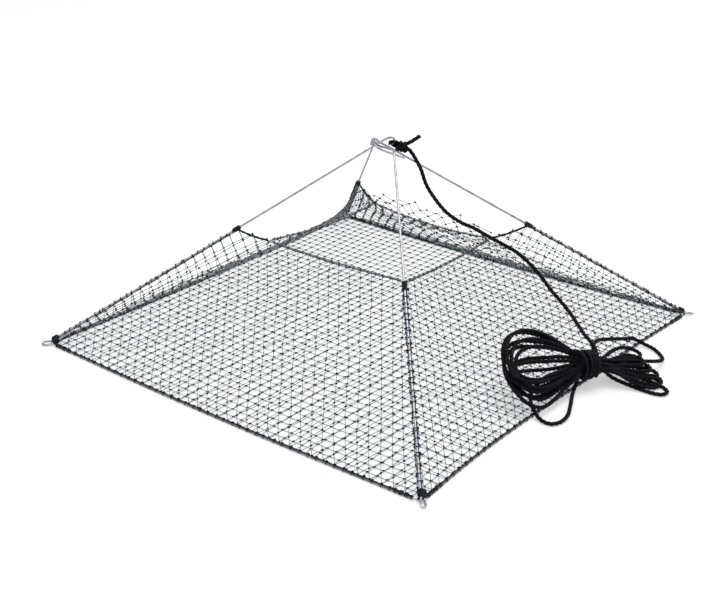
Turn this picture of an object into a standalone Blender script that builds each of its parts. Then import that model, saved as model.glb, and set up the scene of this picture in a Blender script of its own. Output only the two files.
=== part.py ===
"""A square folding fishing net: a flat floor net, four sloping net walls with a square mouth, four wire arms
hooked together over the middle, and a black lifting rope wound into a hank. Metres, +Z up. The origin is on
the ground under the middle of the net, and the edges of the base run along X and Y."""

import bpy
import numpy as np

# Driving sizes
HALF = 0.300            # half the side of the square base
WIRE = 0.0028           # steel wire of the arms
EDGE_CORD = 0.0030      # cord round the base
MOUTH_CORD = 0.0020     # cord round the mouth
LINK = 0.0040           # netting gathered between an arm and a corner of the mouth
ROPE = 0.0053           # lifting rope
SHEET = 0.0012          # thickness that stands for the netting
EDGE_Z = 0.0018         # the middle of the base cord above the ground
WALL_FOOT = 0.0062      # the lowest row of a wall, over the base cord
WALL_STEPS = (20, 12)   # facets of a wall along its edge and up its slope
UP = np.array((0.0, 0.0, 1.0))

# Where the straight part of each arm begins, over its corner of the base, and the bends of its top hook,
# where each arm passes round another one
ARMS = {
    "left": dict(foot=(-0.300, -0.300, 0.0050), hook=(
        (0.0030, 0.0025, 0.2590), (0.0079, 0.0073, 0.2631), (0.0119, 0.0110, 0.2655), (0.0150, 0.0138, 0.2660),
        (0.0177, 0.0150, 0.2640), (0.0180, 0.0142, 0.2603), (0.0155, 0.0118, 0.2580), (0.0122, 0.0095, 0.2577))),
    "front": dict(foot=(0.300, -0.300, 0.0050), hook=(
        (0.0380, -0.0120, 0.2590), (0.0340, -0.0100, 0.2590), (0.0200, -0.0040, 0.2576), (0.0009, 0.0041, 0.2551),
        (-0.0022, 0.0024, 0.2589), (-0.0018, -0.0009, 0.2608), (0.0001, -0.0042, 0.2597),
        (0.0038, -0.0041, 0.2561), (0.0209, -0.0066, 0.2538), (0.0392, -0.0115, 0.2550),
        (0.0506, -0.0071, 0.2517))),
    "right": dict(foot=(0.300, 0.300, 0.0050), hook=(
        (0.0064, 0.0008, 0.2609), (0.0016, -0.0035, 0.2655), (-0.0002, -0.0052, 0.2666), (-0.0008, -0.0062, 0.2645),
        (-0.0017, -0.0081, 0.2582))),
    "back": dict(foot=(-0.300, 0.300, 0.0050), hook=(
        (-0.0050, -0.0019, 0.2506), (-0.0052, -0.0002, 0.2538), (-0.0055, 0.0013, 0.2574),
        (-0.0044, 0.0018, 0.2612), (-0.0019, 0.0014, 0.2636), (0.0009, 0.0015, 0.2634))),
}

# How far up each arm, as a share of its straight part, the mouth of the net is lashed to it, and the corner of
# the mouth cord that hangs inside it
MOUTH = {
    "left": dict(share=0.576, ring=(-0.0979, -0.0979, 0.1344)),
    "front": dict(share=0.574, ring=(0.1185, -0.0915, 0.1340)),
    "right": dict(share=0.535, ring=(0.1062, 0.1062, 0.1250)),
    "back": dict(share=0.548, ring=(-0.0841, 0.1046, 0.1300)),
}

# Each wall, from its first corner to its second: how far its base bows outwards at four places along it, how far
# its mouth cord sags, how far the slack netting pouches out near its foot and bellies half way up, and how far it
# stands up past the mouth cord as a frill
WALLS = {
    "front": dict(ends=("left", "front"), bow=(0.003, 0.005, 0.005, 0.003), sag=0.004, pouch=0.004, belly=0.001,
                  frill=0.0),
    "right": dict(ends=("front", "right"), bow=(-0.008, -0.009, -0.006, -0.005), sag=0.006, pouch=0.002,
                  belly=0.001, frill=0.0),
    "back": dict(ends=("right", "back"), bow=(-0.005, -0.007, -0.007, -0.005), sag=0.005, pouch=0.030, belly=0.010,
                 frill=0.022),
    "left": dict(ends=("back", "left"), bow=(-0.004, -0.006, -0.006, -0.004), sag=0.005, pouch=0.026, belly=0.006,
                 frill=0.0),
}

# The lead from the knot to the hank: down through the air, over the mouth cord, along the netting, onto the tie
LEAD = ((0.0345, 0.0249, 0.2502), (0.0406, 0.0292, 0.2390), (0.0466, 0.0328, 0.2255), (0.0528, 0.0356, 0.2068),
        (0.0606, 0.0405, 0.1911), (0.0742, 0.0507, 0.1698), (0.0887, 0.0640, 0.1550), (0.1010, 0.0750, 0.1470),
        (0.1130, 0.0860, 0.1370), (0.1303, 0.1029, 0.1224), (0.1448, 0.1121, 0.1126), (0.1646, 0.1157, 0.0992),
        (0.1848, 0.1139, 0.0856), (0.1997, 0.1103, 0.0755), (0.2279, 0.1075, 0.0565), (0.2530, 0.0880, 0.0528),
        (0.2765, 0.0680, 0.0507), (0.2922, 0.0530, 0.0502))
KNOT = ((0.0222, 0.0180, 0.2548), (0.0290, 0.0232, 0.2538))     # the middle line of the knot
KNOT_SECTIONS = ((0.00, 0.0022), (0.12, 0.0048), (0.35, 0.0065), (0.70, 0.0062), (0.90, 0.0045), (1.00, 0.0022))
TAIL = ((0.0325, 0.0277, 0.2585), (0.0365, 0.0325, 0.2630), (0.0406, 0.0375, 0.2670))

# The hank, from the end that lies on the netting to the end that lies on the ground: the middle of each section,
# its half width, its half thickness, and how far its width leans out of level, in degrees
HANK = (
    dict(at=(0.2494, -0.0735, 0.0541), wide=0.020, thick=0.006, lean=-31),
    dict(at=(0.2535, -0.0640, 0.0521), wide=0.046, thick=0.010, lean=-31),
    dict(at=(0.2615, -0.0430, 0.0478), wide=0.058, thick=0.012, lean=-31),
    dict(at=(0.2740, -0.0150, 0.0410), wide=0.048, thick=0.013, lean=-31),
    dict(at=(0.2870, 0.0120, 0.0345), wide=0.028, thick=0.014, lean=-25),
    dict(at=(0.2960, 0.0310, 0.0300), wide=0.0138, thick=0.0138, lean=0),
    dict(at=(0.3052, 0.0528, 0.0262), wide=0.0138, thick=0.0138, lean=0),
    dict(at=(0.3180, 0.0710, 0.0222), wide=0.024, thick=0.015, lean=0),
    dict(at=(0.3340, 0.0930, 0.0168), wide=0.034, thick=0.015, lean=0),
    dict(at=(0.3480, 0.1120, 0.0132), wide=0.030, thick=0.012, lean=0),
    dict(at=(0.3545, 0.1210, 0.0122), wide=0.012, thick=0.005, lean=0),
)
WAIST = (5, 6)          # the sections of the hank that its tie goes round
TIE_OUTER = 0.0190


def unit(vector):
    """The vector at length 1."""
    return np.asarray(vector, float) / np.linalg.norm(vector)


def material(name, colour, rough, metallic=0.0):
    """A plain surface finish."""
    made = bpy.data.materials.new(name)
    made.use_nodes = True
    shader = made.node_tree.nodes["Principled BSDF"]
    shader.inputs["Base Color"].default_value = (*colour, 1.0)
    shader.inputs["Roughness"].default_value = rough
    shader.inputs["Metallic"].default_value = metallic
    return made


def smooth(points, count, power=0.5):
    """A smooth curve through the points, read at evenly spaced places: Catmull-Rom with centripetal knots."""
    points = np.asarray(points, float)
    full = np.vstack((2 * points[0] - points[1], points, 2 * points[-1] - points[-2]))
    knots = np.concatenate(([0.0], np.cumsum(np.linalg.norm(np.diff(full, axis=0), axis=1) ** power)))
    fine = []
    for i in range(1, len(full) - 2):
        t0, t1, t2, t3 = knots[i - 1:i + 3]
        t = np.linspace(t1, t2, 24, endpoint=i == len(full) - 3)[:, None]
        a1 = ((t1 - t) * full[i - 1] + (t - t0) * full[i]) / (t1 - t0)
        a2 = ((t2 - t) * full[i] + (t - t1) * full[i + 1]) / (t2 - t1)
        a3 = ((t3 - t) * full[i + 1] + (t - t2) * full[i + 2]) / (t3 - t2)
        b1 = ((t2 - t) * a1 + (t - t0) * a2) / (t2 - t0)
        b2 = ((t3 - t) * a2 + (t - t1) * a3) / (t3 - t1)
        fine.append(((t2 - t) * b1 + (t - t1) * b2) / (t2 - t1))
    return spaced(np.vstack(fine), count)


def spaced(points, count):
    """The polyline read at evenly spaced places along its length."""
    along = np.concatenate(([0.0], np.cumsum(np.linalg.norm(np.diff(points, axis=0), axis=1))))
    return np.column_stack([np.interp(np.linspace(0, along[-1], count), along, axis) for axis in points.T])


def tube(name, points, diameter, finish, resolution=2):
    """A round cord or wire along the points, with flat ends."""
    curve = bpy.data.curves.new(name, "CURVE")
    curve.dimensions = "3D"
    curve.bevel_depth = diameter / 2
    curve.bevel_resolution = resolution
    curve.use_fill_caps = True
    spline = curve.splines.new("POLY")
    spline.points.add(len(points) - 1)
    spline.points.foreach_set("co", np.column_stack((points, np.ones(len(points)))).ravel())
    curve.materials.append(finish)
    made = bpy.data.objects.new(name, curve)
    bpy.context.scene.collection.objects.link(made)
    return made


def solid(name, points, faces, finish, smooth_shading=True):
    """A mesh object from its points and faces."""
    mesh = bpy.data.meshes.new(name)
    mesh.from_pydata([tuple(p) for p in points], [], faces)
    mesh.update()
    if smooth_shading:
        mesh.shade_smooth()
    mesh.materials.append(finish)
    made = bpy.data.objects.new(name, mesh)
    bpy.context.scene.collection.objects.link(made)
    return made


def sheet(name, grid, finish):
    """A thin closed sheet on a grid of points: the grid moved half a thickness to each side, joined round its rim."""
    rows, columns = grid.shape[:2]
    normal = np.cross(np.gradient(grid, axis=0), np.gradient(grid, axis=1))
    normal /= np.linalg.norm(normal, axis=2, keepdims=True)
    points = np.concatenate(((grid + normal * SHEET / 2).reshape(-1, 3), (grid - normal * SHEET / 2).reshape(-1, 3)))
    index = np.arange(rows * columns).reshape(rows, columns)
    a, b, c, d = index[:-1, :-1], index[1:, :-1], index[1:, 1:], index[:-1, 1:]
    upper = np.stack((a, b, c, d), axis=2).reshape(-1, 4)
    lower = upper[:, ::-1] + rows * columns
    rim = np.concatenate((index[:, 0], index[-1, 1:], index[-2::-1, -1], index[0, -2:0:-1]))
    after = np.roll(rim, -1)
    side = np.column_stack((after, rim, rim + rows * columns, after + rows * columns))
    return solid(name, points, np.concatenate((upper, lower, side)).tolist(), finish)


def sleeve(name, middle, along, across, inner, outer, length, finish, sides=20):
    """A short open tube round a wire: inner and outer are half sizes along `across` and square to it."""
    along = unit(along)
    across = unit(across - along * np.dot(across, along))
    beside = np.cross(along, across)
    turn = np.linspace(0, 2 * np.pi, sides, endpoint=False)[:, None]
    rings = [np.asarray(middle) + along * length * end + across * half[0] * np.cos(turn)
             + beside * half[1] * np.sin(turn)
             for end, half in ((-0.5, outer), (0.5, outer), (0.5, inner), (-0.5, inner))]
    here = np.arange(sides)
    there = np.roll(here, -1)
    faces = [np.column_stack((here + k * sides, there + k * sides,
                              there + (k + 1) % 4 * sides, here + (k + 1) % 4 * sides)) for k in range(4)]
    made = solid(name, np.vstack(rings), np.concatenate(faces).tolist(), finish)
    made.data.set_sharp_from_angle(angle=np.radians(40))
    return made


def loft(name, sections, finish, sides=28):
    """A closed solid through elliptical sections: each has its middle, its two half axes as vectors."""
    turn = np.linspace(0, 2 * np.pi, sides, endpoint=False)[:, None]
    rings = [middle + first * np.cos(turn) + second * np.sin(turn) for middle, first, second in sections]
    here = np.arange(sides)
    there = np.roll(here, -1)
    faces = [row for k in range(len(rings) - 1)
             for row in np.column_stack((here + k * sides, there + k * sides, there + (k + 1) * sides,
                                         here + (k + 1) * sides)).tolist()]
    faces.append(here[::-1].tolist())
    faces.append((here + (len(rings) - 1) * sides).tolist())
    return solid(name, np.vstack(rings), faces, finish)


def level_across(along):
    """The level direction square to `along`, and the one square to both that points up."""
    level = unit(np.cross(along, UP))
    return level, unit(np.cross(level, along))


# The frame of each arm

def arm_line(corner):
    """The straight part of an arm: its foot, its top and its direction."""
    foot = np.array(ARMS[corner]["foot"])
    top = np.array(ARMS[corner]["hook"][0])
    return foot, top, unit(top - foot)


def arm_mouth(corner):
    """The point of an arm where the mouth of the net is lashed to it."""
    foot, top, _ = arm_line(corner)
    return foot + (top - foot) * MOUTH[corner]["share"]


def foot_legs(corner, rise, spread):
    """A point of the returning leg of an arm's foot, which runs beside and below the wire."""
    foot, _, along = arm_line(corner)
    level, upward = level_across(along)
    return foot + along * rise + unit(level * 0.78 - upward * 0.62) * spread


def arm_route(corner):
    """The whole wire: the end of the returning leg, the eye beyond the corner, the straight arm, the top hook."""
    foot, top, along = arm_line(corner)
    level, _ = level_across(along)
    out = unit(foot * (1, 1, 0))
    ground = foot * (1, 1, 0)
    eye = ((0.005, 0.0043, 0.0018), (0.009, 0.0032, 0.0018), (0.0112, 0.0008, 0.0022), (0.0092, -0.0012, 0.0034),
           (0.0045, -0.0009, 0.0044))
    back = [foot_legs(corner, rise, spread) for rise, spread in
            ((0.036, 0.0033), (0.024, 0.0034), (0.012, 0.0040), (0.002, 0.0046))]
    loop = [ground + out * o + level * s + UP * z for o, s, z in eye]
    low = smooth([*back, *loop, foot, foot + along * 0.012], 26)
    high = smooth([foot + along * 0.014, top - along * 0.12, top - along * 0.012, *ARMS[corner]["hook"]], 400)
    hook_from = np.argmin(np.linalg.norm(high - (top - along * 0.012), axis=1))
    shank = high[:hook_from:60]
    return np.vstack((low, shank[1:], spaced(high[hook_from:], 24)))


# The netting

def base_line(wall, share):
    """Points of the base edge of a wall at shares of its length, on the ground, with its bow."""
    first, second = (np.array(ARMS[c]["foot"]) * (1, 1, 0) for c in WALLS[wall]["ends"])
    outwards = -unit(np.cross(UP, second - first))
    places = np.linspace(0, 1, len(WALLS[wall]["bow"]) + 2)
    bow = smooth(np.column_stack((places, (0, *WALLS[wall]["bow"], 0))), 121)
    return (first + (second - first) * share[:, None]
            + outwards * np.interp(share, bow[:, 0], bow[:, 1])[:, None])


def mouth_cord_line(wall, count=17):
    """The cord of the mouth over a wall, sagging between its two corners."""
    first, second = (np.array(MOUTH[c]["ring"]) for c in WALLS[wall]["ends"])
    share = np.linspace(0, 1, count)[:, None]
    inwards = unit(np.cross(UP, second - first))
    hang = 4 * share * (1 - share) * WALLS[wall]["sag"]
    return first + (second - first) * share + inwards * hang * 0.5 - UP * hang


def wall_top(wall, share):
    """The top edge of a wall at shares of its length: link, mouth cord, link."""
    first, second = (arm_mouth(c) for c in WALLS[wall]["ends"])
    line = spaced(np.vstack((first, mouth_cord_line(wall), second)), 201)
    return np.column_stack([np.interp(share, np.linspace(0, 1, 201), axis) for axis in line.T])


def wall_grid(wall):
    """The surface of a wall, u along its edge and v up its slope:
    (1-v) base + v top + pouch near the foot + belly half way, fading towards both arms."""
    details = WALLS[wall]
    first, second = (np.array(ARMS[c]["foot"]) for c in details["ends"])
    outwards = -unit(np.cross(UP, second - first))
    frill_rows = 4 if details["frill"] else 0
    v = np.concatenate((np.linspace(0, 1, WALL_STEPS[1] + 1), np.ones(frill_rows)))
    rows = []
    for k, v_row in enumerate(v):
        clear = 0.024 + 0.012 * v_row
        u = np.linspace(clear, 1 - clear, WALL_STEPS[0] + 1)
        base = base_line(wall, u) + UP * WALL_FOOT
        top = wall_top(wall, u)
        top = top + outwards * 0.0042 - UP * 0.0030
        fade = (np.sin(np.pi * u) ** 0.8)[:, None]
        pouch = details["pouch"] * v_row / 0.12 * np.exp(1 - v_row / 0.12)
        belly = details["belly"] * np.sin(np.pi * v_row)
        row = (1 - v_row) * base + v_row * top + fade * (outwards * (pouch + belly * 0.6) - UP * belly * 0.8)
        over = max(0, k - WALL_STEPS[1]) / max(1, frill_rows)
        middle = np.clip(6 * np.minimum(u, 1 - u) - 1.0, 0, 1)[:, None]
        rise = 0.002 + details["frill"] * middle * (0.85 + 0.15 * np.sin(9 * np.pi * u))[:, None]
        row = row + over * (UP * rise + outwards * 0.003 * middle)
        rows.append(row)
    return np.stack(rows)


def floor_net():
    """The floor net: one flat sheet on the ground inside the base cord, its corners cut clear of the arms' feet."""
    inset, corner_cut = 0.0026, 0.030
    share = np.linspace(corner_cut / (2 * HALF), 1 - corner_cut / (2 * HALF), 13)
    outline = []
    for wall in ("front", "right", "back", "left"):
        first, second = (np.array(ARMS[c]["foot"]) for c in WALLS[wall]["ends"])
        outline.append(base_line(wall, share) + unit(np.cross(UP, second - first)) * inset)
    outline = np.vstack(outline)
    count = len(outline)
    points = np.vstack((outline, outline + UP * SHEET, [UP * 0], [UP * SHEET]))
    here = np.arange(count)
    there = np.roll(here, -1)
    faces = np.column_stack((here, there, there + count, here + count)).tolist()
    faces += np.column_stack((there, here, np.full(count, 2 * count))).tolist()
    faces += np.column_stack((here + count, there + count, np.full(count, 2 * count + 1))).tolist()
    return solid("floor_net", points, faces, NETTING, smooth_shading=False)


# The object

for old in list(bpy.data.objects):
    bpy.data.objects.remove(old)

NETTING = material("netting", (0.055, 0.085, 0.080), 0.75)
STEEL = material("steel_wire", (0.62, 0.61, 0.66), 0.30, 1.0)
CORD = material("lilac_cord", (0.42, 0.40, 0.47), 0.70)
LASHING = material("lashing_twine", (0.025, 0.035, 0.035), 0.80)
BLACK_ROPE = material("black_rope", (0.012, 0.011, 0.015), 0.65)

floor_net()

for wall in WALLS:
    sheet(f"wall_{wall}", wall_grid(wall), NETTING)
    end_clear = 0.0110 / (2 * HALF)
    tube(f"edge_cord_{wall}", base_line(wall, np.linspace(end_clear, 1 - end_clear, 17)) + UP * EDGE_Z,
         EDGE_CORD, CORD)
    ring = mouth_cord_line(wall, 31)
    tube(f"mouth_cord_{wall}", ring[1:-1:2], MOUTH_CORD, CORD)

for corner in ARMS:
    foot, top, along = arm_line(corner)
    level, upward = level_across(along)
    tube(f"arm_{corner}", arm_route(corner), WIRE, STEEL)
    beside = unit(level * 0.78 - upward * 0.62)
    sleeve(f"corner_lashing_{corner}", foot + along * 0.0075 + beside * 0.0020, along, beside,
           (0.0050, 0.0025), (0.0066, 0.0041), 0.008, LASHING)
    mouth = arm_mouth(corner)
    sleeve(f"mouth_lashing_{corner}", mouth, along, level, (0.0018, 0.0018), (0.0038, 0.0038), 0.016, LASHING)
    ring = np.array(MOUTH[corner]["ring"])
    away = unit(ring - mouth)
    tube(f"mouth_link_{corner}", spaced(np.array((mouth + away * 0.0085, ring - away * 0.0026)), 6), LINK, LASHING)

knot_from, knot_to = (np.array(p) for p in KNOT)
knot_level, knot_up = level_across(knot_to - knot_from)
loft("rope_knot", [(knot_from + (knot_to - knot_from) * share, knot_level * radius, -knot_up * radius)
                   for share, radius in KNOT_SECTIONS], BLACK_ROPE, sides=16)
tube("rope_tail", smooth(TAIL, 8), ROPE, BLACK_ROPE, resolution=3)
tube("rope_lead", smooth(LEAD, 42), ROPE, BLACK_ROPE, resolution=3)

middles = np.array([row["at"] for row in HANK])
hank_sections = []
for row, heading in zip(HANK, np.gradient(middles, axis=0)):
    level, upward = level_across(heading)
    lean = np.radians(row["lean"])
    width = level * np.cos(lean) + upward * np.sin(lean)
    depth = np.cross(width, unit(heading))
    hank_sections.append((np.array(row["at"]), width * row["wide"], -depth * row["thick"]))
loft("rope_hank", hank_sections, BLACK_ROPE)
waist_from, waist_to = (middles[k] for k in WAIST)
waist = waist_to - waist_from
sleeve("rope_tie", (waist_from + waist_to) / 2, waist, level_across(waist)[0],
       (0.0142, 0.0142), (TIE_OUTER, TIE_OUTER), 0.019, BLACK_ROPE, sides=28)
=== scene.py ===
# %% [markdown]
# # A folding fishing net
# The real thing is a flat square of netting with four sloping net walls that leave a square mouth. Four
# springy steel wires carry it and hook into each other over the middle, and a black lifting rope is knotted
# to the hooks. It is used lying on the bottom of a pond and is lifted by its rope.
#
# The frame gives the places of all pieces. This lesson makes the fine surfaces around it: twine, knots,
# cords, lashings and rope, all worked out with numpy and put into meshes.

import bmesh
import bpy
import numpy as np
from mathutils import Matrix


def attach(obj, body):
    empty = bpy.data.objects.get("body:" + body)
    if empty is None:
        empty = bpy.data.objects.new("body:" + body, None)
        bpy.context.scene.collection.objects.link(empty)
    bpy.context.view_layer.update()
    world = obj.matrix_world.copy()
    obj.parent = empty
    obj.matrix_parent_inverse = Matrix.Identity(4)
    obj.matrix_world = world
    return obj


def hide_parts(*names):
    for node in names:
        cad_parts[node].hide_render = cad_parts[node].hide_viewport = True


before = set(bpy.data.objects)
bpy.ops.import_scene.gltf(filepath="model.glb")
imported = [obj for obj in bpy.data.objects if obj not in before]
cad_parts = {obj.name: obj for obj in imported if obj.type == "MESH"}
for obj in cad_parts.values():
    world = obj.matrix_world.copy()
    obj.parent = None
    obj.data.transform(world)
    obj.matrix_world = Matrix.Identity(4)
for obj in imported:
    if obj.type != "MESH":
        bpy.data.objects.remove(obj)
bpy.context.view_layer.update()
draw = np.random.default_rng(11)
UP = np.array((0.0, 0.0, 1.0))

# %% [markdown]
# ## Small helpers for directions and lines
# A cord is a smooth line before it is a surface. A Catmull-Rom curve goes through every point that it is
# given, and with centripetal knots it makes no loops of its own where the points are uneven. It is then read
# at even distances.

# %% Directions and smooth lines
def unit(vectors):
    """Each vector divided by its own length."""
    vectors = np.asarray(vectors, float)
    return vectors / np.linalg.norm(vectors, axis=-1, keepdims=True)


def lengths_along(points):
    """The distance from the first point to each point, along the line."""
    return np.concatenate(([0.0], np.cumsum(np.linalg.norm(np.diff(points, axis=0), axis=1))))


def spaced(points, count):
    """The line read at evenly spaced places along its length."""
    along = lengths_along(points)
    places = np.linspace(0, along[-1], count)
    return np.column_stack([np.interp(places, along, axis) for axis in np.asarray(points).T])


def smooth(points, count, steps=16):
    """Catmull-Rom through the points: six straight blends between neighbours, weighted by the knots, which
    are the square roots of the distances added up."""
    points = np.asarray(points, float)
    full = np.vstack((2 * points[0] - points[1], points, 2 * points[-1] - points[-2]))
    knots = np.concatenate(([0.0], np.cumsum(np.linalg.norm(np.diff(full, axis=0), axis=1) ** 0.5)))
    p = [full[k:len(full) - 3 + k, None] for k in range(4)]
    knot = [knots[k:len(full) - 3 + k, None, None] for k in range(4)]
    t = knot[1] + (knot[2] - knot[1]) * np.linspace(0, 1, steps, endpoint=False)[None, :, None]

    def blend(first, second, start, end):
        return ((end - t) * first + (t - start) * second) / (end - start)

    a = [blend(p[k], p[k + 1], knot[k], knot[k + 1]) for k in range(3)]
    b = [blend(a[k], a[k + 1], knot[k], knot[k + 2]) for k in range(2)]
    fine = blend(*b, knot[1], knot[2])
    return spaced(np.vstack((fine.reshape(-1, 3), points[-1:])), count)


def square_to(heading, side):
    """The direction nearest to `side` that is square to the heading."""
    return unit(side - heading * (side * heading).sum(-1, keepdims=True))


# %% [markdown]
# ## The camera
# It stands to the right of the front corner, a little above the net, and looks down across it.

# %% Camera
def placed(name, data):
    """A new object in the scene."""
    made = bpy.data.objects.new(name, data)
    bpy.context.scene.collection.objects.link(made)
    return made


CAMERA_AT = np.array((1.0094, -1.2734, 0.7761))
LOOKS_ALONG = unit((-0.5721, 0.7078, -0.4144))
lens = bpy.data.cameras.new("camera")
lens.sensor_width = 36.0
lens.lens = 67.0
lens.clip_start = 0.01
camera = placed("camera", lens)
to_right = unit(np.cross(LOOKS_ALONG, UP))
turned = np.eye(4)
turned[:3] = np.column_stack((to_right, np.cross(to_right, LOOKS_ALONG), -LOOKS_ALONG, CAMERA_AT))
camera.matrix_world = Matrix(turned.tolist())
bpy.context.scene.camera = camera
print(f"the camera is {np.linalg.norm(CAMERA_AT):.3f} m from the middle of the base")

# %% [markdown]
# ## Finishes
# A finish is a small tree of shader nodes. Writing `1 - mask * 0.3` is easier to read than wiring Math nodes
# by hand, so a socket is wrapped in a class whose operators add those nodes. Colours are blended by a Mix
# node instead, because a Math node would turn them grey.

# %% A socket with operators, and a finish
def operator(operation, swapped=False):
    """A method that makes a Math node of two values."""
    def method(self, other):
        return self.finish.math(operation, *((other, self) if swapped else (self, other)))
    return method


class Value:
    """An output of a node. Adding, subtracting, multiplying and dividing it makes Math nodes."""

    def __init__(self, finish, socket):
        self.finish = finish
        self.socket = socket

    __add__ = __radd__ = operator("ADD")
    __mul__ = __rmul__ = operator("MULTIPLY")
    __sub__, __rsub__ = operator("SUBTRACT"), operator("SUBTRACT", swapped=True)
    __truediv__ = operator("DIVIDE")


class Finish:
    """A material with one Principled shader. `node` adds any other node."""

    def __init__(self, name, **constants):
        self.material = bpy.data.materials.new(name)
        self.material.use_nodes = True
        self.tree = self.material.node_tree
        self.shader = self.tree.nodes["Principled BSDF"]
        self.shade(**constants)

    def fill(self, socket, value):
        if isinstance(value, Value):
            self.tree.links.new(value.socket, socket)
        else:
            socket.default_value = value

    def shade(self, **values):
        """Fills sockets of the shader: base_color fills Base Color."""
        for name, value in values.items():
            self.fill(self.shader.inputs[name.replace("_", " ").title().replace("Ior", "IOR")], value)

    def node(self, kind, settings=None, sockets=None, out=0):
        """Any node: its settings first, then its sockets, by name or number."""
        made = self.tree.nodes.new("ShaderNode" + kind)
        for name, value in (settings or {}).items():
            setattr(made, name, value)
        for name, value in (sockets or {}).items():
            self.fill(made.inputs[name], value)
        return Value(self, made.outputs[out])

    def math(self, operation, *values):
        return self.node("Math", {"operation": operation}, dict(enumerate(values)))

    def blend(self, first, second, factor):
        """A colour between two colours."""
        return self.node("Mix", {"data_type": "RGBA"}, {0: factor, 6: first, 7: second}, out=2)

    def between(self, value, low, high):
        """0 below low, 1 above high, and straight between them."""
        return self.node("MapRange", {"clamp": True}, {0: value, 1: low, 2: high})

    def noise(self, per_metre, detail=2.0, rough=0.5):
        """Noise on the object's own coordinates."""
        place = self.node("TexCoord", out="Object")
        return self.node("TexNoise", None, {"Vector": place, "Scale": per_metre, "Detail": detail,
                                            "Roughness": rough})

    def lay(self, pitch, strands):
        """A twist on the piece's own map, whose U is metres along it and whose V is turns round it:
        (1 + sin(2 pi (U / pitch - V) strands)) / 2."""
        parts = self.node("UVMap", {"uv_map": "along"})
        split = self.node("SeparateXYZ", None, {0: parts})
        along, turns = (Value(self, split.socket.node.outputs[k]) for k in (0, 1))
        wave = self.math("SINE", (along / pitch - turns) * (2 * np.pi * strands))
        return wave * 0.5 + 0.5

    def relief(self, height, distance):
        """Bumps of this height, given in metres, on the shader's normal."""
        bumps = {"Height": height, "Distance": distance, "Strength": 1.0}
        self.shade(normal=self.node("Bump", None, bumps))


# %% [markdown]
# ### Netting twine, cord and rope
# All of them are twisted plastic yarn: grey-green twine for the netting, a nearly black one for its knots
# and the lashings, a lilac grey cord round the base and the mouth, and a black rope. Each has a fine lay
# from its own map with painted shade in its grooves, some patches that are paler where the yarn is dry or
# worn, and a soft sheen.

# %% Twine, cord and rope
def yarn(name, colours, rough, pitch=0.0022, strands=3, deep=0.00012, patches=60.0, sheen=0.2, gleam=0.30):
    """Yarn between two colours in patches, with painted shade in the grooves of its lay, which turns once
    in a pitch.
    """
    made = Finish(name, sheen_weight=sheen, specular_ior_level=gleam)
    groove = made.lay(pitch, strands)
    worn = made.between(made.noise(patches, 3.0), 0.35, 0.68)
    shade = made.blend((*colours[0], 1), (*colours[1], 1), worn)
    # Painted shade: towards the bottom of each groove of the lay, the colour goes to 0.45 of the first
    # colour.
    dark = made.blend((*(0.45 * np.array(colours[0])), 1), shade, made.between(groove, 0.0, 0.35))
    made.shade(base_color=dark, roughness=made.noise(900.0) * 0.2 + (rough - 0.1))
    made.relief(groove + made.noise(4000.0) * 0.25, deep)
    return made.material


NET_TWINE = yarn("net_twine", ((0.150, 0.200, 0.205), (0.320, 0.385, 0.390)), rough=0.62)
KNOT_TWINE = yarn("knot_twine", ((0.004, 0.009, 0.010), (0.016, 0.028, 0.029)), rough=0.66, sheen=0.04,
                  gleam=0.16)
LILAC_CORD = yarn("lilac_cord", ((0.130, 0.130, 0.155), (0.330, 0.320, 0.375)), rough=0.60, pitch=0.0016,
                  strands=9, deep=0.00005, patches=90.0)
BLACK_ROPE = yarn("black_rope", ((0.0012, 0.0010, 0.0020), (0.0060, 0.0048, 0.0095)), rough=0.44,
                  pitch=0.0105, strands=14, deep=0.00010, patches=120.0, sheen=0.01, gleam=0.10)
print("yarn finishes:", NET_TWINE.name, KNOT_TWINE.name, LILAC_CORD.name, BLACK_ROPE.name)

# %% [markdown]
# ### Galvanised wire
# The arms are steel wire that has been bent cold, with a dull, slightly patchy zinc skin. The patches are
# noise on the object's own coordinates, kept very shallow.

# %% Steel wire
def galvanised():
    made = Finish("galvanised_wire", metallic=1.0)
    cloud = made.noise(140.0, 4.0, 0.6)
    speck = made.noise(2600.0, 2.0)
    bright = made.blend((0.26, 0.25, 0.31, 1), (0.52, 0.51, 0.57, 1), made.between(cloud, 0.32, 0.66))
    made.shade(base_color=bright, roughness=made.between(cloud, 0.2, 0.8) * 0.18 + speck * 0.08 + 0.16)
    made.relief(speck + cloud * 0.5, 0.00004)
    return made.material


STEEL = galvanised()
print("metal finish:", STEEL.name)

# %% [markdown]
# ## Surfaces round lines
# Every strand is the same surface: a ring carried along a line. Two numbers give a point of it, the place
# along the line and the turn round it. Many strands are worked out at once as one array. A twisted cord has
# lobes that turn as they go, so its ring is turned along with them, which keeps its grooves sharp.

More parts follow.
